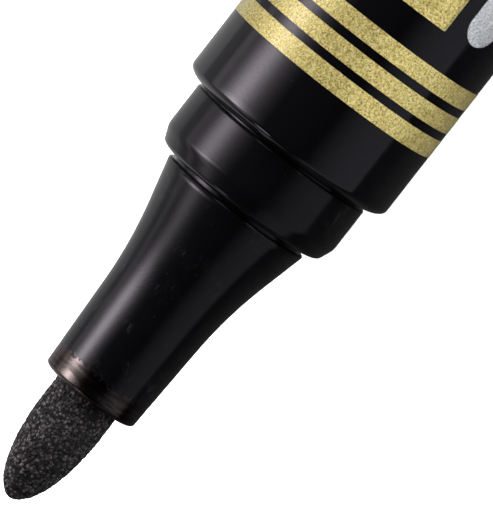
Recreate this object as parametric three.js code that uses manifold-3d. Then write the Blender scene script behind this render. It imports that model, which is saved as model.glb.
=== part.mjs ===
// A bullet-tip felt marker with a metal barrel, lying on a table with its cap pushed onto the tail.
// Millimetres. The marker's axis runs along X, the writing tip points to +X, and the table is z = 0.
// Everything round is a lathe profile of [x, radius] points in the marker's own axis.
import * as THREE from "three";
import { mergeVertices } from "three/addons/utils/BufferGeometryUtils.js";
import Module from "manifold-3d";

const wasm = await Module();
wasm.setup();

// Driving dimensions
const FACETS = 32; // flats round every turned piece
const BARREL_R = 8.5;
const TUBE_LENGTH = 91;
const TUBE_WALL = 0.5;
const NIB_R = 2.585;
const NIB_OUT = 9; // length of felt that shows in front of the nose
const NOSE_LENGTH = 16.85;
const COLLAR_LENGTH = 5; // from the barrel's lip to the collar's front face
const COLLAR_R = 7.24;
const FLANGE_LENGTH = 0.8;
const TOTAL_LENGTH = 160; // with the cap on the tail

// Clearances and shared radii
const FIT = 0.1; // radial play of a pushed-in piece
const SEAM = 0.1; // axial play between pieces that butt
const NOSE_SEAM = 0.2; // visible groove between the collar and the nose
const CAP_SEAM = 0.3; // visible gap between the cap's mouth and the tail flange
const GASKET_THICKNESS = 0.4;
const PLUG_R = BARREL_R - TUBE_WALL - FIT;
const NECK_R = 6.6; // collar and tail plug where the tube's ends close on them
const SHANK_R = 5.3;

// Stations along the axis, worked back from the writing tip
const TIP = TOTAL_LENGTH / 2;
const NOSE_FRONT = TIP - NIB_OUT;
const NOSE_BASE = NOSE_FRONT - NOSE_LENGTH;
const COLLAR_FRONT = NOSE_BASE - NOSE_SEAM;
const TUBE_FRONT = COLLAR_FRONT - COLLAR_LENGTH;
const TUBE_REAR = TUBE_FRONT - TUBE_LENGTH;
const FLANGE_FRONT = TUBE_REAR - GASKET_THICKNESS - 2 * SEAM;
const FLANGE_BACK = FLANGE_FRONT - FLANGE_LENGTH;
const CAP_MOUTH = FLANGE_BACK - CAP_SEAM;
const CAP_END = -TOTAL_LENGTH / 2;

const BLACK_PLASTIC = { color: 0x101012, roughness: 0.32, metalness: 0 };
const BLACK_LACQUER = { color: 0x0c0c0e, roughness: 0.22, metalness: 0.3 };
const GREY_RUBBER = { color: 0x2c2b2e, roughness: 0.7, metalness: 0 };
const INKED_FELT = { color: 0x1b191a, roughness: 0.95, metalness: 0 };
const CLEAR_FILM = { color: 0xcfd4d6, roughness: 0.3, metalness: 0 };
const INKED_WADDING = { color: 0x17161b, roughness: 1, metalness: 0 };
const NATURAL_POLYTHENE = { color: 0xd9d9d2, roughness: 0.45, metalness: 0 };

// A solid of revolution about X. Its flats, not its corners, lie at the stated radii, and one flat faces down.
function turned(profile, facets = FACETS) {
  const toFlat = 1 / Math.cos(Math.PI / facets);
  const points = profile.map(([x, r]) => new THREE.Vector2(r * toFlat, x));
  const geometry = new THREE.LatheGeometry(points, facets, Math.PI / facets);
  return geometry.rotateZ(-Math.PI / 2);
}

// A ring's profile closes on itself.
function ring(profile, facets) {
  return turned([...profile, profile[0]], facets);
}

// Points along an arc in the profile plane, angles in degrees from +X towards +radius.
// The arc is circular, or part of an ellipse when its half-height along the radius is given as well.
function arc(x, r, radius, from, to, steps, height = radius) {
  return Array.from({ length: steps + 1 }, (_, i) => {
    const angle = THREE.MathUtils.degToRad(from + ((to - from) * i) / steps);
    return [x + radius * Math.cos(angle), r + height * Math.sin(angle)];
  });
}

function piece(name, geometry, finish) {
  const mesh = new THREE.Mesh(geometry, new THREE.MeshStandardMaterial(finish));
  mesh.name = name;
  return mesh;
}

// A closed geometry as a manifold-3d solid, and back.
function toSolid(geometry) {
  const bare = geometry.clone();
  bare.deleteAttribute("normal");
  bare.deleteAttribute("uv");
  const merged = mergeVertices(bare, 1e-4);
  return new wasm.Manifold(
    new wasm.Mesh({
      numProp: 3,
      vertProperties: merged.attributes.position.array,
      triVerts: new Uint32Array(merged.index.array),
    }),
  );
}

function toGeometry(solid) {
  const { vertProperties, triVerts } = solid.getMesh();
  const geometry = new THREE.BufferGeometry();
  geometry.setAttribute("position", new THREE.BufferAttribute(vertProperties, 3));
  geometry.setIndex(new THREE.BufferAttribute(triVerts, 1));
  geometry.computeVertexNormals();
  return geometry;
}

// Drawn metal tube, open behind, its front edge rolled in as a domed shoulder over the gasket.
function barrelTube() {
  const domeLength = 1.08;
  const domeHeight = 2.15;
  const domeEnd = 23; // the shoulder stops short of the full quarter ellipse, in degrees from the axis
  const lipHoleR = 7.0;
  const bore = BARREL_R - TUBE_WALL;
  const domeReach = domeLength * Math.cos(THREE.MathUtils.degToRad(domeEnd));
  const lipBack = TUBE_FRONT - TUBE_WALL;
  return ring([
    [TUBE_REAR, bore],
    [TUBE_REAR, BARREL_R],
    ...arc(TUBE_FRONT - domeReach, BARREL_R - domeHeight, domeLength, 90, domeEnd, 5, domeHeight),
    [TUBE_FRONT, lipHoleR],
    [lipBack, lipHoleR],
    [lipBack, bore - 0.4],
    [lipBack - 0.4, bore],
  ]);
}

// Stepped gasket: a flange under the rolled lip, and a neck that fills the lip's hole round the collar.
function frontGasket() {
  const flangeBack = TUBE_FRONT - 1.3;
  const flangeFront = TUBE_FRONT - TUBE_WALL - SEAM;
  const chamfer = 0.5;
  const neckR = 6.9;
  return ring([
    [flangeBack, NECK_R + FIT],
    [flangeBack, PLUG_R],
    [flangeFront - chamfer, PLUG_R],
    [flangeFront, PLUG_R - chamfer],
    [flangeFront, neckR],
    [TUBE_FRONT, neckR],
    [TUBE_FRONT, NECK_R + FIT],
  ]);
}

// Collar: plug with two sealing ribs inside the tube, a neck through the gasket, and the seat the cap snaps onto.
function collar() {
  const plugBack = TUBE_FRONT - 6.5;
  const plugFront = TUBE_FRONT - 1.4;
  const seatBack = TUBE_FRONT + 0.12;
  const bevelBack = COLLAR_FRONT - 1.6;
  const rimLength = 0.42;
  const rimHeight = 0.9;
  const bevelEndR = 6.8;
  const ribHeight = 0.25;
  const rib = (x) => [
    [x - 0.4, PLUG_R - ribHeight],
    [x - 0.15, PLUG_R],
    [x + 0.15, PLUG_R],
    [x + 0.4, PLUG_R - ribHeight],
  ];
  return ring([
    [plugBack, SHANK_R + FIT],
    [plugBack, PLUG_R - ribHeight],
    ...rib(plugBack + 1.6),
    ...rib(plugBack + 3.2),
    [plugFront, PLUG_R - ribHeight],
    [plugFront, NECK_R],
    [seatBack, NECK_R],
    [seatBack, COLLAR_R - 0.1],
    [seatBack + 0.1, COLLAR_R],
    [bevelBack, COLLAR_R],
    ...arc(COLLAR_FRONT - rimLength, bevelEndR - rimHeight, rimLength, 90, 0, 4, rimHeight),
    [COLLAR_FRONT, SHANK_R + FIT],
  ]);
}

// The nose's outline: a steep cone, an arc tangent to both, and a shallow cone up to the front.
function noseOutline() {
  const baseR = 5.87;
  const steep = Math.atan(0.25);
  const shallow = Math.atan(0.045);
  const steepLength = 3.35;
  const arcLength = 6.4;
  const bendX = NOSE_BASE + steepLength;
  const bendR = baseR - steepLength * Math.tan(steep);
  const bendRadius = arcLength / (Math.sin(steep) - Math.sin(shallow));
  const centre = [bendX + bendRadius * Math.sin(steep), bendR + bendRadius * Math.cos(steep)];
  const fromDown = (slope) => 270 - THREE.MathUtils.radToDeg(slope);
  const bend = arc(...centre, bendRadius, fromDown(steep), fromDown(shallow), 7);
  const [bendEndX, bendEndR] = bend[bend.length - 1];
  const edge = 0.25;
  const frontR = bendEndR - (NOSE_FRONT - edge - bendEndX) * Math.tan(shallow);
  return [
    [NOSE_BASE, baseR - 0.1],
    [NOSE_BASE + 0.1, baseR],
    ...bend,
    ...arc(NOSE_FRONT - edge, frontR - edge, edge, 87, 0, 3),
  ];
}

// Nose cone: snap bead and shank behind, flared cone in front, and a bore that grips the nib between air channels.
function noseCone() {
  const shankBack = TUBE_FRONT - 7.6;
  const beadFront = TUBE_FRONT - 6.7;
  const gripBack = NOSE_FRONT - 11;
  const hollowR = 3.7;
  const boreR = NIB_R + FIT;
  const body = toSolid(
    ring([
      [shankBack, hollowR],
      [shankBack, SHANK_R],
      [shankBack + 0.35, SHANK_R + 0.35],
      [beadFront, SHANK_R + 0.35],
      [beadFront, SHANK_R],
      [NOSE_BASE, SHANK_R],
      ...noseOutline(),
      [NOSE_FRONT, boreR],
      [gripBack, boreR],
      [gripBack - 1, hollowR],
    ]),
  );
  const channelWidth = 0.6;
  const channelDepth = 0.45;
  const channelLength = 14;
  const channelCount = 4;
  const width = 2 * (boreR + channelDepth);
  const slot = new THREE.BoxGeometry(channelLength, width, channelWidth);
  slot.translate(NOSE_FRONT - channelLength / 2 + 1, 0, 0);
  let cut = body;
  for (let i = 0; i < channelCount / 2; i++) {
    const turn = (i * 2 * Math.PI) / channelCount + Math.PI / 4;
    cut = cut.subtract(toSolid(slot.clone().rotateX(turn)));
  }
  return toGeometry(cut);
}

// Pressed felt rod: half-ellipse bullet in front, a blunt taper behind that reaches into the wadding.
function nib() {
  const bulletLength = 7.05;
  const back = TIP - 42;
  const taper = 3.5;
  const blunt = 1.1;
  const steps = 11;
  const bullet = Array.from({ length: steps }, (_, i) => {
    const angle = (Math.PI / 2) * (i / steps);
    return [TIP - bulletLength * (1 - Math.sin(angle)), NIB_R * Math.cos(angle)];
  });
  return turned([
    [back, 0],
    [back, blunt - 0.3],
    [back + 0.3, blunt],
    [back + taper, NIB_R],
    ...bullet,
    [TIP, 0],
  ]);
}

const CORE_R = 7.1;
const CORE_FRONT = TUBE_FRONT - 7.9;
const CORE_REAR = TUBE_REAR + 8.3;

// Fibre wadding that holds the ink, with a blind hole for the nib's tail.
function reservoirCore() {
  const holeR = 2.9;
  const holeDepth = 3.6;
  return turned([
    [CORE_REAR, 0],
    [CORE_REAR, CORE_R],
    [CORE_FRONT, CORE_R],
    [CORE_FRONT, holeR],
    [CORE_FRONT - holeDepth, holeR],
    [CORE_FRONT - holeDepth, 0],
  ]);
}

function reservoirFilm() {
  const inner = CORE_R + FIT;
  const outer = inner + 0.25;
  const inset = 0.2;
  return ring([
    [CORE_REAR + inset, inner],
    [CORE_REAR + inset, outer],
    [CORE_FRONT - inset, outer],
    [CORE_FRONT - inset, inner],
  ]);
}

// Moulded ring that keeps the wadding pressed forward onto the nib, open in the middle for air.
function rearSpacer() {
  const front = CORE_REAR - SEAM;
  const back = TUBE_REAR + 5.2;
  const outer = 7.5;
  const edge = 0.3;
  const hole = 3;
  return ring([
    [back, hole],
    [back, outer - edge],
    [back + edge, outer],
    [front - edge, outer],
    [front, outer - edge],
    [front, hole],
  ]);
}

function tailGasket() {
  const front = TUBE_REAR - SEAM;
  return ring([
    [front - GASKET_THICKNESS, NECK_R + FIT],
    [front - GASKET_THICKNESS, 8.25],
    [front, 8.25],
    [front, NECK_R + FIT],
  ]);
}

// Tail plug: a hollow plug in the tube, a flange as wide as the barrel, and a post for the cap.
function tailPlug() {
  const plugFront = TUBE_REAR + 5;
  const postEnd = FLANGE_BACK - 7.6;
  const bevel = 0.5;
  const hollowR = 5.8;
  const wall = 1.2;
  const edge = 0.2;
  return turned([
    [postEnd, 0],
    [postEnd, COLLAR_R - bevel],
    [postEnd + bevel, COLLAR_R],
    [FLANGE_BACK, COLLAR_R],
    [FLANGE_BACK, BARREL_R - edge],
    [FLANGE_BACK + edge, BARREL_R],
    [FLANGE_FRONT - edge, BARREL_R],
    [FLANGE_FRONT, BARREL_R - edge],
    [FLANGE_FRONT, NECK_R],
    [TUBE_REAR + 0.3, NECK_R],
    [TUBE_REAR + 0.3, PLUG_R],
    [plugFront - bevel, PLUG_R],
    [plugFront, PLUG_R - bevel],
    [plugFront, hollowR],
    [postEnd + wall, hollowR],
    [postEnd + wall, 0],
  ]);
}

const CAP_END_R = 8.2;
const CAP_SEAT_R = 6.9;
const CAP_PLUG_LENGTH = 1.2;

// Cap shell: a tube whose mouth is bored to slide over the collar or the tail post.
function capShell() {
  const back = CAP_END + CAP_PLUG_LENGTH + SEAM;
  const mouthBore = COLLAR_R + 0.06;
  const mouthDepth = 9.3;
  const taperStart = CAP_MOUTH - 14;
  const edge = 0.3;
  return ring([
    [back, CAP_SEAT_R],
    [back, CAP_END_R - 0.1],
    [back + 0.1, CAP_END_R],
    [taperStart, BARREL_R],
    [CAP_MOUTH - edge, BARREL_R],
    [CAP_MOUTH, BARREL_R - edge],
    [CAP_MOUTH, mouthBore + edge],
    [CAP_MOUTH - edge, mouthBore],
    [CAP_MOUTH - mouthDepth, mouthBore],
    [CAP_MOUTH - mouthDepth - 0.4, CAP_SEAT_R],
  ]);
}

const INNER_END = CAP_END + 3.6;

// Inner cup that closes round the nose so the felt can't dry out.
function capInner() {
  const mouth = CAP_MOUTH - 12.3;
  const seat = CAP_SEAT_R - FIT;
  const sleeveR = 5.8;
  const bore = 4.7;
  const wall = 0.8;
  const seatLength = 5;
  return turned([
    [INNER_END, 0],
    [INNER_END, seat - 0.3],
    [INNER_END + 0.3, seat],
    [INNER_END + seatLength, seat],
    [INNER_END + seatLength + 0.6, sleeveR],
    [mouth - 0.6, sleeveR],
    [mouth, sleeveR - 0.6],
    [mouth, bore + 0.3],
    [mouth - 0.5, bore],
    [INNER_END + wall, bore],
    [INNER_END + wall, 0],
  ]);
}

const CLIP_OUTER = 11.3; // from the axis to the clip's outer face
const CLIP_THICKNESS = 1.5;
const CLIP_WIDTH = 4;
const CLIP_BEVEL = 0.7;
const CLIP_REACH = CAP_MOUTH - 2.3;
const CLIP_BUMP = 0.8;

// The clip's side view, x along the cap and y away from the axis: a root, a straight arm and a bump at the free end.
function clipOutline() {
  const inner = CLIP_OUTER - CLIP_THICKNESS;
  const rootFront = CAP_END + 4;
  const bumpStart = CLIP_REACH - 5;
  const shape = new THREE.Shape();
  shape.moveTo(CAP_END, 6.5);
  shape.lineTo(CAP_END, CLIP_OUTER - 0.8);
  shape.lineTo(CAP_END + 0.8, CLIP_OUTER);
  shape.lineTo(CLIP_REACH - 0.6, CLIP_OUTER);
  shape.lineTo(CLIP_REACH, CLIP_OUTER - 0.6);
  shape.lineTo(CLIP_REACH, inner);
  shape.lineTo(CLIP_REACH - 1.2, inner - CLIP_BUMP);
  shape.lineTo(CLIP_REACH - 2.4, inner - CLIP_BUMP);
  shape.lineTo(bumpStart, inner);
  shape.lineTo(rootFront, inner);
  shape.lineTo(rootFront - 1, inner - 0.4);
  shape.lineTo(CAP_END + CAP_PLUG_LENGTH, BARREL_R + 0.4);
  shape.lineTo(CAP_END + CAP_PLUG_LENGTH, 6.5);
  return shape;
}

// The clip's cross-section seen along the cap, with both outer edges bevelled.
function clipSection() {
  const half = CLIP_WIDTH / 2;
  const shape = new THREE.Shape();
  shape.moveTo(-half, 5);
  shape.lineTo(half, 5);
  shape.lineTo(half, CLIP_OUTER - CLIP_BEVEL);
  shape.lineTo(half - CLIP_BEVEL, CLIP_OUTER);
  shape.lineTo(-half + CLIP_BEVEL, CLIP_OUTER);
  shape.lineTo(-half, CLIP_OUTER - CLIP_BEVEL);
  return shape;
}

// The roll about the axis, from straight down, at which the clip's outer edge touches the table.
function clipRoll() {
  const half = CLIP_WIDTH / 2;
  const rollWith = (out, side) => Math.acos(BARREL_R / Math.hypot(out, side)) + Math.atan2(side, out);
  return Math.max(rollWith(CLIP_OUTER, half - CLIP_BEVEL), rollWith(CLIP_OUTER - CLIP_BEVEL, half));
}

// End plug and pocket clip in one moulding.
function clipPlug() {
  const edge = 0.5;
  const stemFront = INNER_END - SEAM;
  const face = CAP_END + CAP_PLUG_LENGTH;
  const plug = toSolid(
    turned([
      [CAP_END, 0],
      [CAP_END, CAP_END_R - edge],
      ...arc(CAP_END + edge, CAP_END_R - edge, edge, 180, 90, 3).slice(1),
      [face, CAP_END_R],
      [face, CAP_SEAT_R - FIT],
      [stemFront - 0.3, CAP_SEAT_R - FIT],
      [stemFront, CAP_SEAT_R - FIT - 0.3],
      [stemFront, 0],
    ]),
  );
  const flat = { bevelEnabled: false, steps: 1 };
  const side = new THREE.ExtrudeGeometry(clipOutline(), { ...flat, depth: CLIP_WIDTH + 1 });
  side.translate(0, 0, -(CLIP_WIDTH + 1) / 2);
  const along = new THREE.ExtrudeGeometry(clipSection(), { ...flat, depth: CAP_MOUTH - CAP_END + 2 });
  along.rotateY(Math.PI / 2).translate(CAP_END - 1, 0, 0);
  const clip = toSolid(side).intersect(toSolid(along));
  const rolled = toGeometry(clip).rotateX(-Math.PI / 2 - clipRoll());
  return toGeometry(plug.add(toSolid(rolled)));
}

const marker = new THREE.Group();
const axis = new THREE.Group();
axis.position.z = BARREL_R;
marker.add(axis);
axis.add(
  piece("barrel_tube", barrelTube(), BLACK_LACQUER),
  piece("front_gasket", frontGasket(), GREY_RUBBER),
  piece("collar", collar(), BLACK_PLASTIC),
  piece("nose_cone", noseCone(), BLACK_PLASTIC),
  piece("nib", nib(), INKED_FELT),
  piece("reservoir_core", reservoirCore(), INKED_WADDING),
  piece("reservoir_film", reservoirFilm(), CLEAR_FILM),
  piece("rear_spacer", rearSpacer(), NATURAL_POLYTHENE),
  piece("tail_gasket", tailGasket(), GREY_RUBBER),
  piece("tail_plug", tailPlug(), BLACK_PLASTIC),
  piece("cap_shell", capShell(), BLACK_PLASTIC),
  piece("cap_inner", capInner(), NATURAL_POLYTHENE),
  piece("clip_plug", clipPlug(), BLACK_PLASTIC),
);

export default marker;
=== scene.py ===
"""A bullet-tip felt marker lying on a pale table, its cap pushed onto the tail.

Shapes are worked out in millimetres, x along the marker's axis towards the writing tip and r out from it,
and become metres when a mesh is made. Angles round the axis are measured from +Y towards +Z.
"""

import itertools
import math

import bmesh
import bpy
import numpy as np
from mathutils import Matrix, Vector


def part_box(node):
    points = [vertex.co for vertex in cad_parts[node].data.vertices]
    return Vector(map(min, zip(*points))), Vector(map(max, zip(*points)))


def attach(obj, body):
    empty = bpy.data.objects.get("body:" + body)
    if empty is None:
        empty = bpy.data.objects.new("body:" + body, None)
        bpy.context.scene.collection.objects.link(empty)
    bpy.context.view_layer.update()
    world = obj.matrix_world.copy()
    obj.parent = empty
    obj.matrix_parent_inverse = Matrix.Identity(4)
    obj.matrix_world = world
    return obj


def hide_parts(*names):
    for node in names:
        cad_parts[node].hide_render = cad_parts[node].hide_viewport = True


MM = 0.001
TURNS = 160  # steps round a turned piece

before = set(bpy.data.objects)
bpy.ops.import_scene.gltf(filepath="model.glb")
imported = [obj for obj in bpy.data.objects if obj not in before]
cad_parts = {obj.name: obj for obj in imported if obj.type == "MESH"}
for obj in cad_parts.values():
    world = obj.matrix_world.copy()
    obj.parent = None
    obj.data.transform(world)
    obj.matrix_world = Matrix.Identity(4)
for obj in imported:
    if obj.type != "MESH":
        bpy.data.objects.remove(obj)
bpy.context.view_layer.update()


def span(node):
    """The rear and front ends of a node along the axis, in millimetres."""
    low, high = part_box(node)
    return low.x / MM, high.x / MM


def outer_radius(node):
    """Half of a turned node's height, in millimetres."""
    low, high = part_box(node)
    return (high.z - low.z) / 2 / MM


PRINT = 0.015  # how far the printing stands above the lacquer
AXIS_HEIGHT = outer_radius("barrel_tube")  # the barrel lies on the table
BARREL_R = AXIS_HEIGHT - PRINT
TUBE_REAR, TUBE_FRONT = span("barrel_tube")
COLLAR_FRONT = span("collar")[1]
NOSE_FRONT = span("nose_cone")[1]
TIP = span("nib")[1]
CAP_END = span("clip_plug")[0]
CAP_MOUTH = span("cap_shell")[1]

TUBE_WALL = 0.5
FIT = 0.1  # play between pieces that are pressed together
SEAM = 0.1  # gap between a piece and the shoulder that it meets
NECK_R = 6.6  # where the collar and the tail plug pass the tube's ends
SHANK_R = 5.3  # the nose's, inside the collar
SEAT_R = 7.24  # the collar's and the tail post's, which the cap grips
CAP_SEAT_R = 6.9  # the cap's bore, behind its mouth
CAP_END_R = 8.2

BANDS = [(5.67, 1.46), (7.77, 1.37), (9.79, 1.43)]  # front edge behind the tube's front, and width
PANEL_BACK = 13.7  # from the tube's front to the gold panel
BAR_BACK = 14.0  # and to the silver bar
LABEL_LENGTH = 52.0

CAMERA_LEAN = math.radians(10)  # the camera stands this far round from straight above, towards +Y
CAMERA_TIP = math.asin(0.085)  # and this far towards the tail
NIB_LEAN = math.radians(37.94)  # how far the marker leans from upright in the view
FACING = math.pi / 2 - CAMERA_LEAN  # the angle round the axis that faces the camera


# ---------------------------------------------------------------- shapes


def outline(corners, guard=0.03):
    """A profile with rounded corners. Each corner is (x, r, rounding).

    The arc of radius a at a corner touches both its lines at a / tan(half the corner's angle) from it, and
    is swept from one touching point to the other about its centre. A point just outside each of its ends
    keeps the shading of the straight runs flat.
    """
    runs = []
    for i, (x, r, rounding) in enumerate(corners):
        here = np.array([x, r], float)
        if not rounding:
            runs.append(here[None])
            continue
        back = np.array(corners[i - 1][:2]) - here
        on = np.array(corners[(i + 1) % len(corners)][:2]) - here
        back_length, on_length = np.linalg.norm(back), np.linalg.norm(on)
        back, on = back / back_length, on / on_length
        half = math.acos(np.clip(back @ on, -1, 1)) / 2
        reach = min(rounding / math.tan(half), 0.47 * back_length, 0.47 * on_length)
        radius = reach * math.tan(half)
        middle = back + on
        centre = here + middle / np.linalg.norm(middle) * radius / math.sin(half)
        sweep = math.pi - 2 * half
        steps = max(3, math.ceil(sweep / math.radians(8)))
        t = np.linspace(0, 1, steps + 1)[:, None]
        start, end = here + back * reach - centre, here + on * reach - centre
        arc = centre + (np.sin((1 - t) * sweep) * start + np.sin(t * sweep) * end) / math.sin(sweep)
        before = here + back * (reach + min(guard, 0.02 * back_length))
        after = here + on * (reach + min(guard, 0.02 * on_length))
        runs += [before[None], arc, after[None]]
    return np.vstack(runs)


def ellipse(x, r, along, out, start, end, steps):
    """Points x + along * cos(a), r + out * sin(a) for angles a from start to end, in degrees."""
    angle = np.radians(np.linspace(start, end, steps + 1))
    return np.stack([x + along * np.cos(angle), r + out * np.sin(angle)], -1)


def surface(name, points, loop):
    """A mesh from a grid of points, in millimetres. Columns join up, and so do rows where loop is true.

    Points that fall together, as at a pole, become one.
    """
    rows, columns = points.shape[:2]
    index = np.arange(rows * columns).reshape(rows, columns)
    if loop:
        index = np.vstack([index, index[:1]])
    here, there = index[:-1], index[1:]
    quads = np.stack([here, np.roll(here, -1, 1), np.roll(there, -1, 1), there], -1).reshape(-1, 4)
    mesh = bpy.data.meshes.new(name)
    mesh.from_pydata((points.reshape(-1, 3) * MM).tolist(), [], quads.tolist())
    work = bmesh.new()
    work.from_mesh(mesh)
    bmesh.ops.remove_doubles(work, verts=work.verts, dist=1e-7)
    bmesh.ops.recalc_face_normals(work, faces=work.faces)
    work.to_mesh(mesh)
    work.free()
    mesh.shade_smooth()
    thing = bpy.data.objects.new(name, mesh)
    bpy.context.scene.collection.objects.link(thing)
    return thing


def turned(name, profile, relief=None, loop=True, turns=TURNS):
    """A profile spun round the axis: y = r cos(a), z = axis height + r sin(a), less relief(x, r, a) off r."""
    angle = np.linspace(0, 2 * np.pi, turns, endpoint=False)[None]
    x = np.repeat(profile[:, :1], turns, 1)
    r = np.repeat(profile[:, 1:], turns, 1)
    if relief:
        r = r - relief(x, r, angle)
    return surface(name, np.stack([x, r * np.cos(angle), AXIS_HEIGHT + r * np.sin(angle)], -1), loop)


def smooth_step(low, high, value):
    """0 below low, 1 above high, and 3 t^2 - 2 t^3 between them."""
    t = np.clip((value - low) / (high - low), 0, 1)
    return t * t * (3 - 2 * t)


def random_field(points, cell, seed):
    """A random number at every corner of a lattice of that cell size, blended smoothly inside each cell."""
    size = 64
    table = np.random.default_rng(seed).random((size, size, size))
    scaled = points / cell
    base = np.floor(scaled).astype(int)
    share = scaled - base
    share = share * share * (3 - 2 * share)
    total = np.zeros(points.shape[:-1])
    for corner in itertools.product((0, 1), repeat=3):
        weight = np.where(corner, share, 1 - share).prod(-1)
        i, j, k = np.moveaxis((base + corner) % size, -1, 0)
        total += weight * table[i, j, k]
    return total


# ---------------------------------------------------------------- pieces


def barrel_tube():
    """Straight tube with a quarter-ellipse shoulder rolled in at the front."""
    dome_length, dome_height, dome_end = 0.87, 1.8, 14
    lip_hole = 7.0
    bore = BARREL_R - TUBE_WALL
    lip_back = TUBE_FRONT - TUBE_WALL
    dome_start = TUBE_FRONT - 0.95
    dome = ellipse(dome_start, BARREL_R - dome_height, dome_length, dome_height, 90, dome_end, 24)
    behind = outline([(TUBE_REAR, bore, 0.06), (TUBE_REAR, BARREL_R, 0.12), (dome_start, BARREL_R, 0)])[:-1]
    lead_in = np.array([[dome_start - 0.4, BARREL_R]])
    inside = [(lip_back, bore - 0.4), (lip_back - 0.4, bore), (TUBE_REAR + 1, bore)]
    lip_front = dome[-1, 0]
    lip = [(lip_front, lip_hole + 0.05), (lip_front - 0.05, lip_hole), (lip_back, lip_hole)]
    return turned("barrel_tube_fine", np.vstack([behind, lead_in, dome, lip, inside]))


def front_gasket():
    """Seal with a wide flange behind the tube's lip and a narrow neck that shows in the groove."""
    rear, _ = span("front_gasket")
    plug_r = outer_radius("front_gasket")
    flange_front = TUBE_FRONT - TUBE_WALL - SEAM
    neck_r = 6.9
    return turned("front_gasket_fine", outline([
        (rear, NECK_R + FIT, 0.05),
        (rear, plug_r, 0.08),
        (flange_front - 0.5, plug_r, 0.1),
        (flange_front, plug_r - 0.5, 0.1),
        (flange_front, neck_r, 0.05),
        (TUBE_FRONT - 0.12, neck_r, 0.04),
        (TUBE_FRONT - 0.12, NECK_R + FIT, 0.04),
    ]))


def collar():
    """Plug with two ribs, a neck, and the cap's seat, whose front is bevelled and curves in to the nose."""
    rear, front = span("collar")
    plug_r = outer_radius("collar")
    low_r = plug_r - 0.25
    seat_back = TUBE_FRONT + 0.08
    rim_length, rim_height, bevel_r = 0.5, 1.1, 6.87
    rim_back = front - 0.62
    bevel_back = front - 1.45
    ribs = [
        (rear + offset + x, low_r + 0.25 * up, 0.12)
        for offset in (1.6, 3.2)
        for x, up in ((-0.45, 0), (-0.15, 1), (0.15, 1), (0.45, 0))
    ]
    back = outline([
        (front - 2, SHANK_R + FIT, 0),
        (rear, SHANK_R + FIT, 0.1),
        (rear, low_r, 0.15),
        *ribs,
        (TUBE_FRONT - 1.4, low_r, 0.1),
        (TUBE_FRONT - 1.4, NECK_R, 0.05),
        (seat_back, NECK_R, 0.03),
        (seat_back, SEAT_R, 0.14),
        (bevel_back, SEAT_R, 1.3),
        (rim_back, bevel_r, 0),
    ])[:-1]
    rim = ellipse(rim_back, bevel_r - rim_height, rim_length, rim_height, 80, 0, 18)
    face = rim[-1, 0]
    bore_edge = [(face, SHANK_R + FIT + 0.08), (face - 0.08, SHANK_R + FIT)]
    return turned("collar_fine", np.vstack([back, rim, bore_edge]))


def nose_curve(base):
    """Radius along the nose: a slope of 1 in 4, eased over a bend to a slope of about 1 in 22.

    The slope falls in a straight line through the bend, so that the radius there is a parabola.
    """
    base_r, steep, shallow = 5.87, 0.25, 0.045
    bend_start, bend_end = base + 3.35, base + 9.75
    straight = np.linspace(base + 0.1, bend_start, 8)[:-1]
    x = np.concatenate([straight, np.linspace(bend_start, NOSE_FRONT - 0.39, 60)])
    into_bend = np.clip(x - bend_start, 0, bend_end - bend_start)
    eased = (steep - shallow) * into_bend**2 / (2 * (bend_end - bend_start))
    past_bend = (steep - shallow) * np.clip(x - bend_end, 0, None)
    return np.stack([x, base_r - steep * (x - base) + eased + past_bend], -1)


def nose_relief(x, r, angle):
    """A fine parting ring near the front, and four air channels cut out of the nib's bore."""
    ring = 0.02 * np.exp(-(((x - (NOSE_FRONT - 1.75)) / 0.06) ** 2)) * (r > 3.5)
    bore = (r < 3.0) & (x > NOSE_FRONT - 13)
    channel = np.exp(-((np.sin(2 * (angle - math.pi / 4)) / 0.22) ** 4))
    return ring - 0.45 * bore * channel


def nose_cone():
    """The nose curve, a half-ellipse front edge and the nib's bore, on a shank with a snap bead."""
    rear, front = span("nose_cone")
    base = COLLAR_FRONT + 0.2
    bead_front = TUBE_FRONT - 6.7
    bead_r = SHANK_R + 0.35
    hollow_r, bore_r = 3.7, outer_radius("nib") + FIT
    grip_back = front - 11
    behind = outline([
        (grip_back - 1, hollow_r, 0),
        (rear, hollow_r, 0.1),
        (rear, SHANK_R, 0.1),
        (rear + 0.35, bead_r, 0.08),
        (bead_front, bead_r, 0.06),
        (bead_front, SHANK_R, 0.03),
        (base, SHANK_R, 0.02),
        (base, nose_curve(base)[0, 1] - 0.08, 0),
    ])
    cone = nose_curve(base)
    edge_length, edge_height = 0.38, 0.75
    rim = ellipse(front - edge_length, cone[-1, 1] - edge_height, edge_length, edge_height, 88, 0, 16)
    mouth = [(front, bore_r + 0.06), (front - 0.06, bore_r), (front - 0.5, bore_r), (grip_back, bore_r)]
    return turned("nose_cone_fine", np.vstack([behind, cone, rim, mouth]), nose_relief, turns=192)


def nearest_point(points, cell, seed):
    """Distance, in cells, to the nearest of a set of random points, one in every cell of a lattice."""
    size = 64
    shift = np.random.default_rng(seed).random((size, size, size, 3))
    scaled = points / cell
    base = np.floor(scaled).astype(int)
    nearest = np.full(points.shape[:-1], 9.0)
    for step in itertools.product((-1, 0, 1), repeat=3):
        corner = base + step
        i, j, k = np.moveaxis(corner % size, -1, 0)
        nearest = np.minimum(nearest, np.linalg.norm(corner + shift[i, j, k] - scaled, axis=-1))
    return nearest


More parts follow.
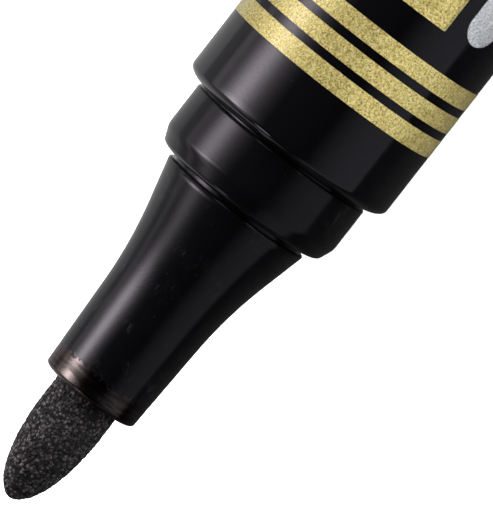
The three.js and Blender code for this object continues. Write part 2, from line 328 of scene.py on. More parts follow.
def nib():
    """Felt rod with a half-ellipse bullet. Granules stand in it: each point is sunk along its normal by its
    distance from the nearest granule's middle, and by two random fields.
    """
    rear, tip = span("nib")
    radius = outer_radius("nib")
    bullet = 7.05
    turn = np.linspace(0, math.pi / 2, 150)
    front = np.stack([tip - bullet * (1 - np.sin(turn)), radius * np.cos(turn)], -1)
    hidden = np.linspace(rear + 3.5, NOSE_FRONT - 0.6, 12)
    rod_x = np.concatenate([hidden, np.linspace(NOSE_FRONT - 0.5, front[0, 0], 34)])
    rod = np.stack([rod_x[:-1], np.full(len(rod_x) - 1, radius)], -1)
    tail = [(rear, 0), (rear, 0.8), (rear + 0.1, 1.0), (rear + 0.3, 1.1), (rear + 3.4, radius - 0.03)]
    profile = np.vstack([tail, rod, front])
    columns = 300
    angle = np.linspace(0, 2 * np.pi, columns, endpoint=False)[None]
    x, r = (np.repeat(profile[:, i : i + 1], columns, 1) for i in (0, 1))
    lean = np.gradient(profile[:, 1], profile[:, 0] + 1e-9 * np.arange(len(profile)))[:, None]
    lean = np.clip(lean, -8, 0)
    normal = np.stack([-lean, np.ones_like(lean)], -1) / np.sqrt(1 + lean**2)[..., None]
    spot = np.stack([x, r * np.cos(angle), r * np.sin(angle)], -1)
    clumps = random_field(spot, 0.34, 1)
    grains = nearest_point(spot, 0.27, 2)
    fibres = random_field(spot, 0.11, 3)
    pits = smooth_step(0.25, 0.95, grains) * 0.07 + clumps * 0.03 + fibres * 0.03
    shown = smooth_step(NOSE_FRONT - 0.6, NOSE_FRONT - 0.2, x)
    depth = pits * shown * (1 - 0.8 * smooth_step(tip - 0.35, tip, x))
    x = x - depth * normal[..., 0]
    r = np.clip(r - depth * normal[..., 1], 0, None)
    return surface("nib_fine", np.stack([x, r * np.cos(angle), AXIS_HEIGHT + r * np.sin(angle)], -1), False)


def tail_gasket():
    """Plain ring with softened edges."""
    rear, front = span("tail_gasket")
    outer = outer_radius("tail_gasket")
    inner = NECK_R + FIT
    return turned("tail_gasket_fine", outline([
        (rear, inner, 0.06), (rear, outer, 0.12), (front, outer, 0.12), (front, inner, 0.06),
    ]))


def tail_plug():
    """Hollow plug, flange and post. The post has a soft bevel and two faint grip rings."""
    rear, front = span("tail_plug")
    flange_front = TUBE_REAR - 0.6
    flange_back = flange_front - 0.8
    hollow_r = 5.8
    plug_r = BARREL_R - TUBE_WALL - FIT
    profile = outline([
        (rear, 0, 0),
        (rear, SEAT_R - 0.5, 0.5),
        (rear + 0.5, SEAT_R, 0.5),
        (flange_back, SEAT_R, 0.12),
        (flange_back, BARREL_R, 0.22),
        (flange_front, BARREL_R, 0.22),
        (flange_front, NECK_R, 0.05),
        (TUBE_REAR + 0.3, NECK_R, 0.05),
        (TUBE_REAR + 0.3, plug_r, 0.1),
        (front, plug_r, 0.6),
        (front, hollow_r, 0.15),
        (rear + 1.2, hollow_r, 0.6),
        (rear + 1.2, 0, 0),
    ])
    return turned("tail_plug_fine", profile, loop=False)


def cap_relief(x, r, angle):
    """Shallow lengthwise flutes on the outside of the cap's middle, fading out at both ends."""
    flutes, depth = 28, 0.16
    fade = smooth_step(CAP_END + 6, CAP_END + 9, x) * (1 - smooth_step(CAP_MOUTH - 11, CAP_MOUTH - 8, x))
    groove = (0.5 + 0.5 * np.cos(flutes * angle)) ** 3
    return depth * groove * fade * (r > CAP_SEAT_R + 0.9)


def cap_shell():
    """Tube that widens in a straight line to the barrel's radius, with a wider bore at its mouth."""
    rear, front = span("cap_shell")
    mouth_bore = SEAT_R + 0.06
    mouth_depth = 9.3
    taper_start = front - 14
    step = np.linspace(0, 1, 40)[1:-1, None]
    low, high = np.array([[rear + 3, CAP_END_R]]), np.array([[taper_start, BARREL_R]])
    wall = outline([
        (front - mouth_depth - 0.4, CAP_SEAT_R, 0.15),
        (rear, CAP_SEAT_R, 0.1),
        (rear, CAP_END_R, 0.15),
    ])
    mouth = outline([
        (taper_start, BARREL_R, 0),
        (front, BARREL_R, 0.35),
        (front, mouth_bore, 0.3),
        (front - mouth_depth, mouth_bore, 0.15),
    ])
    straight = np.array([[x, BARREL_R] for x in np.linspace(taper_start + 0.3, front - 1, 24)])
    profile = np.vstack([wall, low + (high - low) * step, mouth[:1], straight, mouth[1:]])
    return turned("cap_shell_fine", profile, cap_relief, turns=336)


def cap_inner():
    """Cup with a sleeve that closes round the nose."""
    rear, front = span("cap_inner")
    seat = outer_radius("cap_inner")
    sleeve_r, bore = 5.8, 4.7
    return turned("cap_inner_fine", outline([
        (rear, 0, 0),
        (rear, seat, 0.3),
        (rear + 5, seat, 0.4),
        (rear + 5.6, sleeve_r, 0.3),
        (front, sleeve_r, 0.5),
        (front, bore, 0.3),
        (rear + 0.8, bore, 1.2),
        (rear + 0.8, 0, 0),
    ]), loop=False)


def cap_end_plug():
    """The disc that closes the cap, with a shallow ring groove in its flat end."""
    face = CAP_END + 1.2
    stem_r, stem_front = CAP_SEAT_R - FIT, CAP_END + 3.5
    groove_r, groove_depth = 6.2, 0.15
    return turned("cap_end_plug", outline([
        (CAP_END, 0, 0),
        (CAP_END, groove_r - 0.35, 0.1),
        (CAP_END + groove_depth, groove_r - 0.2, 0.1),
        (CAP_END + groove_depth, groove_r + 0.2, 0.1),
        (CAP_END, groove_r + 0.35, 0.1),
        (CAP_END, CAP_END_R, 0.5),
        (face, CAP_END_R, 0.12),
        (face, stem_r, 0.05),
        (stem_front, stem_r, 0.3),
        (stem_front, 0, 0),
    ]), loop=False)


def clip_angle():
    """The angle round the axis that the clip points at, found from the mean place of its arm's corners."""
    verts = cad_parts["clip_plug"].data.vertices
    spots = np.array([v.co for v in verts]) / MM
    arm = spots[spots[:, 0] > CAP_END + 20].mean(0)
    return math.atan2(arm[2] - AXIS_HEIGHT, arm[1])


def cap_clip():
    """A bar swept from inside the end disc out and forward along the cap, with a bump near its free end.

    The path goes out, round a quarter circle, then straight. The section is a rectangle with softened bevels.
    Its inner side is pushed in by a gusset at the bend, exp(-(distance)^2), and by the bump,
    exp(-(distance)^4). The free end closes in a half-ellipse.
    """
    outer, thickness, width, bevel = 11.29, 1.5, 4.0, 0.7
    reach = CAP_MOUTH - 2.3
    root_x, bend = CAP_END + 0.77, 1.6
    line_r = outer - thickness / 2
    rise = np.linspace(5.6, line_r - bend, 14)
    turn = np.linspace(0, math.pi / 2, 14)[1:]
    ends = 1 - np.cos(np.linspace(0, math.pi / 2, 12))
    run = np.concatenate([np.linspace(root_x + bend, reach - 0.7, 90)[1:], reach - 0.7 * ends[::-1][1:]])
    x = np.concatenate([np.full(14, root_x), root_x + bend * (1 - np.cos(turn)), run])
    r = np.concatenate([rise, line_r - bend * (1 - np.sin(turn)), np.full(len(run), line_r)])
    heading = np.concatenate([np.full(14, 0.0), turn, np.full(len(run), math.pi / 2)])
    section = outline([
        (-width / 2, -thickness / 2, 0.25),
        (width / 2, -thickness / 2, 0.25),
        (width / 2, thickness / 2 - bevel, 0.5),
        (width / 2 - bevel, thickness / 2, 0.5),
        (-width / 2 + bevel, thickness / 2, 0.5),
        (-width / 2, thickness / 2 - bevel, 0.5),
    ])
    across, out = section[None, :, 0], section[None, :, 1]
    inner = np.clip(0.5 - out / thickness, 0, 1)
    near_bend = np.exp(-(((x - root_x - bend) / 1.1) ** 2)) * (heading > 0.3)
    bump = np.exp(-(((x - (reach - 2.4)) / 1.3) ** 4))
    extra = (0.7 * near_bend + 0.75 * bump)[:, None] * inner
    close = np.sqrt(np.clip(1 - ((x - (reach - 0.7)) / 0.7).clip(0) ** 2, 0, 1))[:, None]
    out = (out - extra) * close
    across = across * (0.35 + 0.65 * close) * (close > 0)
    along_x = x[:, None] - out * np.cos(heading)[:, None]
    reach_r = r[:, None] + out * np.sin(heading)[:, None]
    point = clip_angle()
    y = reach_r * math.cos(point) - across * math.sin(point)
    z = AXIS_HEIGHT + reach_r * math.sin(point) + across * math.cos(point)
    points = np.stack([along_x, y, z], -1)
    root = np.broadcast_to(points[:1].mean(1, keepdims=True), points[:1].shape)
    return surface("cap_clip", np.vstack([root, points]), False)


def printed_band(name, front, length):
    """A thin raised ring of ink round the barrel."""
    low, high = BARREL_R - 0.02, BARREL_R + PRINT
    return turned(name, outline([
        (front - length, low, 0), (front - length, high, 0.01), (front, high, 0.01), (front, low, 0),
    ]))


def printed_patch(name, front, length, middle, half_width, end_round):
    """A thin raised patch of ink, curved with the barrel, centred on the angle middle.

    Its edge is a rectangle whose ends are rounded by quarter circles of radius end_round: the half-width at a
    distance d from an end is half_width - end_round + sqrt(end_round^2 - (end_round - d)^2).
    """
    turn = np.linspace(0, math.pi / 2, 14)
    near = end_round * (1 - np.cos(turn))
    x = np.concatenate([near, np.linspace(end_round, length - end_round, 60)[1:-1], (length - near)[::-1]])
    from_end = np.minimum(np.minimum(x, length - x), end_round)
    width = half_width - end_round + np.sqrt(np.clip(end_round**2 - (end_round - from_end) ** 2, 0, None))
    across = np.linspace(-1, 1, 24)
    top = np.stack([across, np.full(24, BARREL_R + PRINT)], -1)
    loop = np.vstack([top, [(1, BARREL_R - 0.02)], [(-1, BARREL_R - 0.02)]])
    angle = middle + width[:, None] / BARREL_R * loop[None, :, 0]
    r = np.broadcast_to(loop[None, :, 1], angle.shape)
    spot = np.broadcast_to((front - x)[:, None], angle.shape)
    points = np.stack([spot, r * np.cos(angle), AXIS_HEIGHT + r * np.sin(angle)], -1)
    ends = np.repeat(points[[0, -1]].mean(1, keepdims=True), points.shape[1], 1)
    return surface(name, np.vstack([ends[:1], points, ends[1:]]), False)


# ---------------------------------------------------------------- finishes


def add(tree, kind, inputs=None, **settings):
    """A shader node with its settings, and each named input either linked from a socket or given a value."""
    node = tree.nodes.new("ShaderNode" + kind)
    for key, value in settings.items():
        setattr(node, key, value)
    for key, value in (inputs or {}).items():
        if isinstance(value, bpy.types.NodeSocket):
            tree.links.new(value, node.inputs[key])
        else:
            node.inputs[key].default_value = value
    return node


def math_node(tree, operation, a, b=0.0):
    """The result of one sum on two sockets or numbers."""
    return add(tree, "Math", {0: a, 1: b}, operation=operation).outputs[0]


def plus(tree, a, b):
    """a + b."""
    return math_node(tree, "ADD", a, b)


def times(tree, a, b):
    """a * b."""
    return math_node(tree, "MULTIPLY", a, b)


def mask_between(tree, value, low, high, to_low=0.0, to_high=1.0):
    """to_low where value is low, to_high where it is high, and a smooth step between."""
    inputs = {"Value": value, "From Min": low, "From Max": high, "To Min": to_low, "To Max": to_high}
    return add(tree, "MapRange", inputs, interpolation_type="SMOOTHSTEP").outputs["Result"]


def noise(tree, vector, scale, detail=2.0, roughness=0.5):
    """Noise from 0 to 1. The scale is its cells in a metre."""
    inputs = {"Vector": vector, "Scale": scale, "Detail": detail, "Roughness": roughness}
    return add(tree, "TexNoise", inputs).outputs["Fac"]


def new_group(name, inputs, outputs):
    """An empty node group. inputs is {name: default}, None for a vector, and outputs is a list of names."""
    tree = bpy.data.node_groups.new(name, "ShaderNodeTree")
    for key, value in inputs.items():
        kind = "NodeSocketVector" if value is None else "NodeSocketFloat"
        socket = tree.interface.new_socket(name=key, in_out="INPUT", socket_type=kind)
        if value is not None:
            socket.default_value = value
    for key in outputs:
        tree.interface.new_socket(name=key, in_out="OUTPUT", socket_type="NodeSocketFloat")
    return tree, tree.nodes.new("NodeGroupInput").outputs, tree.nodes.new("NodeGroupOutput").inputs


def build_grain_group():
    """Fine uneven moulding or lacquer texture: a height, and a slower patchiness from 0 to 1."""
    inputs = {"Vector": None, "Size": 0.2, "Patch Size": 4.0}
    tree, given, out = new_group("fine_grain", inputs, ["Height", "Patches"])
    scale = math_node(tree, "DIVIDE", 1000.0, given["Size"])
    patch_scale = math_node(tree, "DIVIDE", 1000.0, given["Patch Size"])
    fine = noise(tree, given["Vector"], scale, 3.0, 0.6)
    broad = noise(tree, given["Vector"], patch_scale)
    tree.links.new(fine, out["Height"])
    tree.links.new(mask_between(tree, broad, 0.3, 0.7), out["Patches"])
    return tree


def build_scuff_group():
    """Thin broken scratches: noise stretched along x, cut to a narrow range, thinned by broader noise."""
    inputs = {"Vector": None, "Size": 0.3, "Stretch": 12.0, "Cover": 0.4}
    tree, given, out = new_group("scuffs", inputs, ["Mask"])
    scale = math_node(tree, "DIVIDE", 1000.0, given["Size"])
    along = math_node(tree, "DIVIDE", 1.0, given["Stretch"])
    squeeze = add(tree, "CombineXYZ", {"X": along, "Y": 1.0, "Z": 1.0}).outputs[0]
    drawn = add(tree, "VectorMath", {0: given["Vector"], 1: squeeze}, operation="MULTIPLY").outputs[0]
    streaks = noise(tree, drawn, scale)
    ridge = math_node(tree, "ABSOLUTE", math_node(tree, "SUBTRACT", streaks, 0.5))
    line = mask_between(tree, ridge, 0.018, 0.0)
    patches = noise(tree, given["Vector"], 420.0, 3.0)
    thin = math_node(tree, "SUBTRACT", 0.9, times(tree, given["Cover"], 0.6))
    keep = mask_between(tree, patches, thin, plus(tree, thin, 0.12))
    tree.links.new(times(tree, line, keep), out["Mask"])
    return tree


def build_dust_group():
    """Scattered specks: the middles of a few random cells."""
    tree, given, out = new_group("dust", {"Vector": None, "Spacing": 1.0, "Speck": 0.12}, ["Mask"])
    scale = math_node(tree, "DIVIDE", 1000.0, given["Spacing"])
    cells = add(tree, "TexVoronoi", {"Vector": given["Vector"], "Scale": scale, "Randomness": 1.0})
    core = times(tree, given["Speck"], 0.4)
    near = mask_between(tree, cells.outputs["Distance"], given["Speck"], core)
    chosen = mask_between(tree, cells.outputs["Color"], 0.55, 0.7)
    tree.links.new(times(tree, near, chosen), out["Mask"])
    return tree


def build_zone_group():
    """1 between two stations along x and 0 outside, with edges broken up by noise. Lengths are in metres."""
    inputs = {"Vector": None, "From": 0.0, "To": 0.01, "Fade": 0.0003, "Ragged": 0.0002}
    tree, given, out = new_group("zone_along", inputs, ["Mask"])
    uneven = noise(tree, given["Vector"], 2600.0, 3.0)
    wobble = times(tree, math_node(tree, "SUBTRACT", uneven, 0.5), given["Ragged"])
    x = plus(tree, add(tree, "SeparateXYZ", {0: given["Vector"]}).outputs["X"], wobble)
    rising = mask_between(tree, x, given["From"], plus(tree, given["From"], given["Fade"]))
    falling = mask_between(tree, x, given["To"], math_node(tree, "SUBTRACT", given["To"], given["Fade"]))
    tree.links.new(times(tree, rising, falling), out["Mask"])
    return tree


GRAIN = build_grain_group()
SCUFFS = build_scuff_group()
DUST = build_dust_group()
ZONE = build_zone_group()


def grouped(tree, group, **inputs):
    """A node group placed in a material, each named input linked or given a value."""
    node = add(tree, "Group", None, node_tree=group)
    for key, value in inputs.items():
        name = key.replace("_", " ").title()
        if isinstance(value, bpy.types.NodeSocket):
            tree.links.new(value, node.inputs[name])
        else:
            node.inputs[name].default_value = value
    return node.outputs


def new_material(name, **constants):
    """A material, its tree, its Principled shader with plain values on its own sockets, and Object places."""
    material = bpy.data.materials.new(name)
    material.use_nodes = True
    tree = material.node_tree
    shader = tree.nodes["Principled BSDF"]
    for key, value in constants.items():
        shader.inputs[key.replace("_", " ")].default_value = value
    return material, tree, shader, add(tree, "TexCoord").outputs["Object"]


def blend_colours(tree, mask, low, high):
    """The colour low where mask is 0, high where it is 1."""
    mix = add(tree, "Mix", {"Factor": mask}, data_type="RGBA")
    for socket, value in ((mix.inputs[6], low), (mix.inputs[7], high)):
        if isinstance(value, bpy.types.NodeSocket):
            tree.links.new(value, socket)
        else:
            socket.default_value = (*value, 1.0)
    return mix.outputs[2]


def finish_with(tree, shader, colour, rough, height, depth, strength=1.0):
    """Links a colour, a roughness, and a height that is depth metres from 0 to 1, to the shader."""
    tree.links.new(colour, shader.inputs["Base Color"])
    tree.links.new(rough, shader.inputs["Roughness"])
    bump = add(tree, "Bump", {"Height": height, "Distance": depth, "Strength": strength})
    tree.links.new(bump.outputs["Normal"], shader.inputs["Normal"])


VIOLET_SHEEN = (1.0, 0.92, 1.0, 1.0)
BLACK = (0.0014, 0.0014, 0.0017)


def black_lacquer():
    """Glossy black lacquer on drawn metal: faint orange peel, hairline scratches, dust, a rubbed shoulder."""
    material, tree, shader, here = new_material("black_lacquer", IOR=1.62, Specular_Tint=VIOLET_SHEEN)
    grain = grouped(tree, GRAIN, vector=here, size=0.16, patch_size=5.0)
    scratch = grouped(tree, SCUFFS, vector=here, size=0.22, stretch=16.0, cover=0.32)["Mask"]
    speck = grouped(tree, DUST, vector=here, spacing=0.7, speck=0.05)["Mask"]
    shoulder = {"from": (TUBE_FRONT - 1.0) * MM, "to": (TUBE_FRONT + 1.0) * MM}
    rubbed = grouped(tree, ZONE, vector=here, **shoulder)["Mask"]
    marks = math_node(tree, "MAXIMUM", times(tree, scratch, 0.25), speck)
    marked = blend_colours(tree, marks, BLACK, (0.036, 0.035, 0.036))
    colour = blend_colours(tree, rubbed, marked, (0.0016, 0.0016, 0.0019))
    gloss = mask_between(tree, grain["Patches"], 0.0, 1.0, 0.07, 0.11)
    rough = plus(tree, gloss, times(tree, marks, 0.25))
    finish_with(tree, shader, colour, rough, grain["Height"], 0.000005, 0.7)
    return material


def moulded_black(name, grain_size, gloss_low, gloss_high, scuff_cover):
    """Black moulded plastic with fine grain, patchy gloss, scuffs along the axis and a little dust."""
    material, tree, shader, here = new_material(name, IOR=1.46, Specular_Tint=VIOLET_SHEEN)
    grain = grouped(tree, GRAIN, vector=here, size=grain_size, patch_size=2.6)
    scuff = grouped(tree, SCUFFS, vector=here, size=0.26, stretch=9.0, cover=scuff_cover)["Mask"]
    speck = grouped(tree, DUST, vector=here, spacing=0.55, speck=0.06)["Mask"]
    marks = math_node(tree, "MAXIMUM", times(tree, scuff, 0.45), speck)
    colour = blend_colours(tree, marks, BLACK, (0.024, 0.0235, 0.024))
    gloss = mask_between(tree, grain["Patches"], 0.0, 1.0, gloss_low, gloss_high)
    rough = plus(tree, gloss, times(tree, marks, 0.2))
    return material, tree, shader, here, grain["Height"], colour, rough


def collar_plastic():
    """The moulded black of the collar, polished by the cap."""
    material, tree, shader, _, height, colour, rough = moulded_black("collar_plastic", 0.14, 0.10, 0.15, 0.5)
    finish_with(tree, shader, colour, rough, height, 0.000007, 0.7)
    return material


def nose_plastic():
    """The nose's plastic, with a dried-ink film that shines pinkish bronze over its front edge."""
    material, tree, shader, here, height, black, gloss = moulded_black("nose_plastic", 0.14, 0.11, 0.17, 0.6)
    ends = {"from": (NOSE_FRONT - 2.3) * MM, "to": (NOSE_FRONT + 1) * MM}
    wetted = grouped(tree, ZONE, vector=here, fade=0.0008, ragged=0.0018, **ends)["Mask"]
    round_about = add(tree, "Mapping", {"Vector": here, "Scale": (6.0, 1.0, 1.0)}).outputs[0]
    smear = noise(tree, round_about, 620.0, 4.0)
    holed = math_node(tree, "SUBTRACT", wetted, mask_between(tree, smear, 0.6, 0.75))
    film = mask_between(tree, holed, 0.48, 0.52)
    streaks = mask_between(tree, smear, 0.32, 0.68)
    bronze = blend_colours(tree, streaks, (0.046, 0.037, 0.037), (0.135, 0.110, 0.103))
    colour = blend_colours(tree, film, black, bronze)
    tree.links.new(film, shader.inputs["Metallic"])
    rough = plus(tree, gloss, times(tree, film, 0.04))
    finish_with(tree, shader, colour, rough, height, 0.000008, 0.7)
    return material


def cap_plastic():
    """The duller moulded black of the cap and the tail plug."""
    material, tree, shader, _, height, colour, rough = moulded_black("cap_plastic", 0.16, 0.2, 0.27, 0.4)
    finish_with(tree, shader, colour, rough, height, 0.000007, 0.7)
    return material


def grey_rubber():
    """Dark grey seal rubber with a fine dull grain."""
    material, tree, shader, here = new_material("grey_rubber", IOR=1.5)
    grain = grouped(tree, GRAIN, vector=here, size=0.08, patch_size=1.5)
    colour = blend_colours(tree, grain["Patches"], (0.05, 0.05, 0.052), (0.12, 0.12, 0.122))
    rough = mask_between(tree, grain["Height"], 0.0, 1.0, 0.45, 0.65)
    finish_with(tree, shader, colour, rough, grain["Height"], 0.00001)
    return material


def inked_felt():
    """Pressed fibre soaked in black ink: granule tops painted lighter and pores painted darker, as painted
    light and shade over the felt's own uneven tone, with a broken wet sheen.
    """
    material, tree, shader, here = new_material("inked_felt", IOR=1.45, Specular_IOR_Level=0.15)
    fibres = noise(tree, here, 9000.0, 4.0, 0.65)
    push = add(tree, "TexNoise", {"Vector": here, "Scale": 5200.0}).outputs["Color"]
    reach = (0.00022, 0.00022, 0.00022)
    bent = add(tree, "VectorMath", {0: push, 1: reach, 2: here}, operation="MULTIPLY_ADD").outputs[0]
    granules = add(tree, "TexVoronoi", {"Vector": bent, "Scale": 4200.0})
    domes = mask_between(tree, granules.outputs["Distance"], 0.8, 0.1)
    pick = add(tree, "SeparateColor", {0: granules.outputs["Color"]}).outputs[0]
    cloud = noise(tree, here, 900.0, 3.0)
    pick = plus(tree, pick, mask_between(tree, cloud, 0.35, 0.65, -0.15, 0.15))
    # Painted light and shade: lit granule tops and shaded pores are painted into the base colour, over the
    # felt's own random tone.
    lit = times(tree, domes, mask_between(tree, pick, 0.1, 1.0, 0.12, 1.0))
    lit = times(tree, lit, mask_between(tree, fibres, 0.35, 0.62, 0.35, 1.0))
    colour = blend_colours(tree, lit, (0.003, 0.003, 0.003), (0.076, 0.065, 0.067))
    rough = mask_between(tree, lit, 0.0, 1.0, 0.75, 0.5)
    finish_with(tree, shader, colour, rough, plus(tree, domes, times(tree, fibres, 0.5)), 0.00009)
    return material


def metallic_ink(name, dull, bright, fleck, rough):
    """Screen-printed metal ink under clear lacquer: packed flakes, bright and dull, with darker pinholes."""
    material, tree, shader, here = new_material(name, Metallic=1.0, Coat_Weight=1.0, Coat_Roughness=0.14)
    flakes = add(tree, "TexVoronoi", {"Vector": here, "Scale": 11000.0}).outputs["Color"]
    flake = add(tree, "SeparateColor", {0: flakes}).outputs[0]
    cloud = noise(tree, here, 5200.0, 4.0, 0.7)
    mixed = plus(tree, times(tree, flake, 0.45), times(tree, cloud, 0.9))
    packed = blend_colours(tree, mask_between(tree, mixed, 0.35, 0.95), dull, bright)
    hole = mask_between(tree, noise(tree, here, 6400.0, 1.0), 0.56, 0.70, 0.0, 0.85)
    colour = blend_colours(tree, hole, packed, fleck)
    spread = mask_between(tree, flake, 0.0, 1.0, rough - 0.08, rough + 0.08)
    finish_with(tree, shader, colour, spread, mixed, 0.000005, 0.7)
    return material


def pale_polythene():
    """Uncoloured polythene, slightly waxy."""
    material, tree, shader, here = new_material("pale_polythene", IOR=1.52)
    grain = grouped(tree, GRAIN, vector=here, size=0.3, patch_size=3.0)
    colour = blend_colours(tree, grain["Patches"], (0.60, 0.60, 0.56), (0.72, 0.72, 0.68))
    rough = mask_between(tree, grain["Patches"], 0.0, 1.0, 0.38, 0.48)
    finish_with(tree, shader, colour, rough, grain["Height"], 0.000006)
    return material


def wadding():
    """Packed fibre, drawn along the axis."""
    material, tree, shader, here = new_material("wadding", IOR=1.45)
    drawn = add(tree, "Mapping", {"Vector": here, "Scale": (0.08, 1.0, 1.0)}).outputs[0]
    fibres = noise(tree, drawn, 5000.0, 4.0)
    colour = blend_colours(tree, fibres, (0.008, 0.007, 0.012), (0.04, 0.036, 0.05))
    rough = mask_between(tree, fibres, 0.3, 0.7, 0.95, 0.75)
    finish_with(tree, shader, colour, rough, fibres, 0.00005)
    return material


def clear_film():
    """Thin wrapping film, pale and a little glossy."""
    material, tree, shader, here = new_material("clear_film", IOR=1.49)
    grain = grouped(tree, GRAIN, vector=here, size=0.5, patch_size=3.0)
    colour = blend_colours(tree, grain["Patches"], (0.66, 0.70, 0.71), (0.76, 0.79, 0.80))
    rough = mask_between(tree, grain["Patches"], 0.0, 1.0, 0.2, 0.32)
    finish_with(tree, shader, colour, rough, grain["Height"], 0.00001)
    return material


# ---------------------------------------------------------------- assembly


def fit_piece(piece, body, slot, material, *nodes):
    """Gives a finished piece its material and its body, and hides the CAD nodes that it stands for. The slot
    is not used.
    """
    piece.data.materials.append(material)
    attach(piece, body)
    if nodes:
        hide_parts(*nodes)


def keep_node(node, material):
    """A CAD node that is already right keeps its shape and gets a better finish."""
    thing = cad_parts[node]
    thing.data.materials.clear()
    thing.data.materials.append(material)


def build_marker():
    """Makes every piece and puts it on its body."""
    lacquer, rubber, polythene, cap_black = black_lacquer(), grey_rubber(), pale_polythene(), cap_plastic()
    gold = metallic_ink("gold_ink", (0.62, 0.46, 0.10), (1.0, 0.90, 0.43), (0.36, 0.24, 0.06), 0.57)
    silver = metallic_ink("silver_ink", (0.66, 0.67, 0.70), (0.96, 0.98, 1.0), (0.5, 0.5, 0.52), 0.54)
    fit_piece(barrel_tube(), "barrel", "black_lacquer", lacquer, "barrel_tube")
    fit_piece(front_gasket(), "barrel", "grey_rubber", rubber, "front_gasket")
    fit_piece(collar(), "barrel", "black_plastic", collar_plastic(), "collar")
    fit_piece(nose_cone(), "barrel", "black_plastic", nose_plastic(), "nose_cone")
    fit_piece(nib(), "barrel", "inked_felt", inked_felt(), "nib")
    fit_piece(tail_gasket(), "barrel", "grey_rubber", rubber, "tail_gasket")
    fit_piece(tail_plug(), "barrel", "black_plastic", cap_black, "tail_plug")
    fit_piece(cap_shell(), "cap", "black_plastic", cap_black, "cap_shell")
    fit_piece(cap_end_plug(), "cap", "black_plastic", cap_black, "clip_plug")
    fit_piece(cap_clip(), "cap", "black_plastic", cap_black, "clip_plug")
    fit_piece(cap_inner(), "cap_liner", "natural_polythene", polythene, "cap_inner")
    keep_node("reservoir_core", wadding())
    keep_node("reservoir_film", clear_film())
    keep_node("rear_spacer", polythene)
    for i, (back, length) in enumerate(BANDS):
        near_nib = printed_band(f"gold_band_{i + 1}", TUBE_FRONT - back, length)
        fit_piece(near_nib, "barrel", "gold_print", gold)
        near_tail = printed_band(f"gold_rear_band_{i + 1}", TUBE_REAR + back + length - 2, length)
        fit_piece(near_tail, "barrel", "gold_print", gold)
    panel_middle, bar_middle = FACING + math.radians(1), FACING - math.radians(46)
    panel = printed_patch("gold_panel", TUBE_FRONT - PANEL_BACK, LABEL_LENGTH, panel_middle, 4.3, 0.02)
    fit_piece(panel, "barrel", "gold_print", gold)
    bar = printed_patch("silver_bar", TUBE_FRONT - BAR_BACK, LABEL_LENGTH, bar_middle, 1.48, 1.47)
    fit_piece(bar, "barrel", "silver_print", silver)


# ---------------------------------------------------------------- stage


def sheet(name, corners, material):
    """One four-cornered face that is part of the stage, not of the marker."""
    mesh = bpy.data.meshes.new(name)
    mesh.from_pydata(corners, [], [(0, 1, 2, 3)])
    mesh.materials.append(material)
    thing = bpy.data.objects.new(name, mesh)
    bpy.context.scene.collection.objects.link(thing)
    return thing


def level_square(half, height):
    """Corners of a square on the origin, at a height."""
    return [(-half, -half, height), (half, -half, height), (half, half, height), (-half, half, height)]


def glow_card(name, corners, pattern, colour=(1.0, 1.0, 1.0)):
    """A card seen only in reflections. pattern(tree, x, y, z) gives its brightness from its place."""
    material = bpy.data.materials.new(name)
    material.use_nodes = True
    tree = material.node_tree
    tree.nodes.clear()
    place = add(tree, "SeparateXYZ", {0: add(tree, "TexCoord").outputs["Object"]}).outputs
    brightness = pattern(tree, place["X"], place["Y"], place["Z"])
    glow = add(tree, "Emission", {"Color": (*colour, 1.0), "Strength": brightness})
    tree.links.new(glow.outputs[0], add(tree, "OutputMaterial").inputs["Surface"])
    card = sheet(name, corners, material)
    for ray in ("camera", "diffuse", "transmission", "volume_scatter", "shadow"):
        setattr(card, "visible_" + ray, False)


def bell(tree, value, middle, width):
    """exp(-((value - middle) / width)^2 / 2)."""
    offset = math_node(tree, "DIVIDE", math_node(tree, "SUBTRACT", value, middle), width)
    return math_node(tree, "EXPONENT", times(tree, times(tree, offset, offset), -0.5))


ROOM = 0.45  # distance of the softbox and the wall from the marker
FAR = 2.0  # half the width of what surrounds it
STRIP_ANGLE = math.radians(-54)  # direction of the softbox from straight up, towards -Y


def softbox():
    """Bright card on the -Y side: a hot middle in a wide soft glow, and a dim strip along its foot.

    Its middle is a little towards the nib, so that it fades out along the parts that slope most.
    """
    out = np.array([0, math.sin(STRIP_ANGLE), math.cos(STRIP_ANGLE)])
    across = np.array([0, math.cos(STRIP_ANGLE), -math.sin(STRIP_ANGLE)])
    along = np.array([1.0, 0, 0])
    centre = out * ROOM + along * 0.25
    half_length, low, high = 0.75, -0.332, 0.34

    def pattern(tree, x, y, z):
        height = plus(tree, times(tree, y, float(across[1])), times(tree, z, float(across[2])))
        hot = times(tree, bell(tree, height, 0.0, 0.06), 0.7)
        upright = plus(tree, hot, times(tree, bell(tree, height, 0.0, 0.12), 0.45))
        near = times(tree, bell(tree, x, 0.135, 0.045), 6.0)
        level = plus(tree, near, times(tree, bell(tree, x, 0.30, 0.20), 1.2))
        foot = mask_between(tree, z, 0.13, 0.05, 0.0, 0.55)
        return plus(tree, times(tree, upright, level), foot)

    places = ((-half_length, low), (half_length, low), (half_length, high), (-half_length, high))
    corners = [tuple((centre + along * a + across * b).tolist()) for a, b in places]
    glow_card("softbox", corners, pattern, (0.99, 0.97, 1.0))


def wall():
    """Tall dim panel at +Y that fades out towards its top."""

    def pattern(tree, x, y, z):
        return mask_between(tree, z, 0.72, 0.1, 0.0, 0.25)

    corners = [(-FAR, ROOM, 0), (FAR, ROOM, 0), (FAR, ROOM, 1.0), (-FAR, ROOM, 1.0)]
    glow_card("right_wall", corners, pattern, (0.93, 0.98, 1.06))


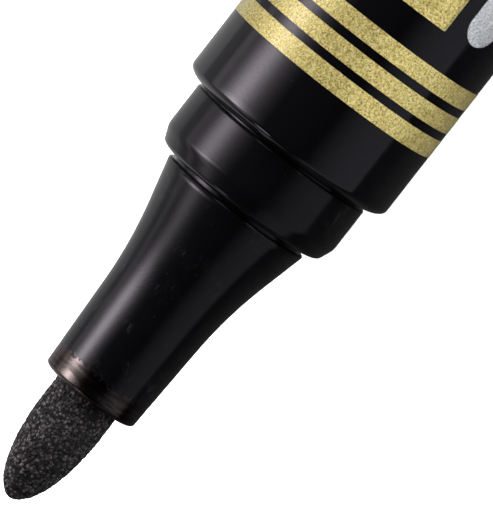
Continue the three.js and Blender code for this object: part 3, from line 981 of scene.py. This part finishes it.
def table_in_reflections():
    """What polished sides see of the table: lit at -Y, at +Y shaded by the marker and brighter beyond."""
    shade_edge = 0.14

    def pattern(tree, x, y, z):
        towards_edge = mask_between(tree, y, -0.046, -0.042, 0.26, 0.50)
        lit = times(tree, towards_edge, mask_between(tree, x, 0.11, 0.25, 1.0, 0.45))
        shaded = mask_between(tree, y, 0.04, 0.01, 0.012, 0.05)
        beyond = mask_between(tree, y, shade_edge, shade_edge + 0.004, 0.0, 0.22)
        right = plus(tree, shaded, beyond)
        side = math_node(tree, "GREATER_THAN", y, 0.0)
        return add(tree, "Mix", {"Factor": side, 2: lit, 3: right}, data_type="FLOAT").outputs[0]

    just_above = 0.0002
    glow_card("table_glow", level_square(FAR, just_above), pattern)


def table_top():
    """Plain pale table with a faint paper grain. It glows a little, which softens the marker's shadow."""
    glossless = {"Roughness": 0.9, "Specular_IOR_Level": 0.2, "Emission_Strength": 0.6}
    material, tree, shader, here = new_material("table_white", **glossless)
    grain = grouped(tree, GRAIN, vector=here, size=0.4, patch_size=60.0)
    white = blend_colours(tree, grain["Patches"], (0.86, 0.86, 0.86), (0.88, 0.88, 0.88))
    tree.links.new(white, shader.inputs["Base Color"])
    tree.links.new(white, shader.inputs["Emission Color"])
    just_below = -0.00005
    sheet("table_top", level_square(3.0, just_below), material)


def area_light(name, place, aim, size, power, glossy=True):
    """A square lamp of that size, turned to its aim."""
    data = bpy.data.lights.new(name, "AREA")
    data.shape = "SQUARE"
    data.size = size
    data.energy = power
    light = bpy.data.objects.new(name, data)
    light.location = place
    direction = np.array(aim) - np.array(place)
    light.rotation_euler = Vector(direction).to_track_quat("-Z", "Y").to_euler()
    light.visible_camera = False
    light.visible_glossy = glossy
    bpy.context.scene.collection.objects.link(light)


def lights():
    """Two lamps past the tail, which only rough or turned surfaces catch in the main view, a dim one past the
    nib, and a soft one at -Y that models matt surfaces without showing in polished ones.
    """
    area_light("soft_side", (0.02, -0.75, 0.26), (0.02, 0, 0), 0.4, 30.0, glossy=False)
    area_light("tail_left", (-0.36, -0.27, 0.40), (0.03, 0, 0), 0.6, 3.2)
    area_light("tail_right", (-0.36, 0.48, 0.22), (0.03, 0, 0), 0.5, 7.2)
    area_light("nib_end", (0.62, -0.14, 0.24), (0.05, 0, 0), 0.12, 0.12)


def surroundings():
    """Even pale light all round, which polished surfaces hardly see: cards and lamps shape those instead."""
    world = bpy.data.worlds.new("surroundings")
    world.use_nodes = True
    tree = world.node_tree
    tree.nodes.clear()
    path = add(tree, "LightPath").outputs
    unseen = mask_between(tree, path["Is Glossy Ray"], 0.0, 1.0, 0.36, 0.006)
    strength = math_node(tree, "MAXIMUM", path["Is Camera Ray"], unseen)
    glow = add(tree, "Background", {"Color": (1.0, 1.0, 1.0, 1.0), "Strength": strength})
    tree.links.new(glow.outputs[0], add(tree, "OutputWorld").inputs["Surface"])
    bpy.context.scene.world = world


def camera():
    """Long lens above the marker, tipped towards the tail, rolled so that the nib points down to the left."""
    toward = np.array([
        -math.sin(CAMERA_TIP),
        math.cos(CAMERA_TIP) * math.sin(CAMERA_LEAN),
        math.cos(CAMERA_TIP) * math.cos(CAMERA_LEAN),
    ])
    along = np.array([1.0, 0, 0]) - toward[0] * toward
    along /= np.linalg.norm(along)
    beside = np.cross(toward, along)
    up = -along * math.cos(NIB_LEAN) - beside * math.sin(NIB_LEAN)
    right = np.cross(up, toward)
    distance = 0.9
    view_height = 0.03508
    centre = np.array([TIP - 23.69, 0, AXIS_HEIGHT]) * MM + beside * 2.565 * MM
    data = bpy.data.cameras.new("camera")
    data.sensor_width = 36
    data.lens = data.sensor_width * distance / view_height
    data.clip_start, data.clip_end = 0.05, 50
    eye = bpy.data.objects.new("camera", data)
    turn = Matrix(np.stack([right, up, toward], -1).tolist()).to_4x4()
    turn.translation = (centre + toward * distance).tolist()
    eye.matrix_world = turn
    bpy.context.scene.collection.objects.link(eye)
    bpy.context.scene.camera = eye
    bpy.context.scene.view_settings.view_transform = "Standard"


build_marker()
table_top()
table_in_reflections()
softbox()
wall()
lights()
surroundings()
camera()

bpy.context.view_layer.update()
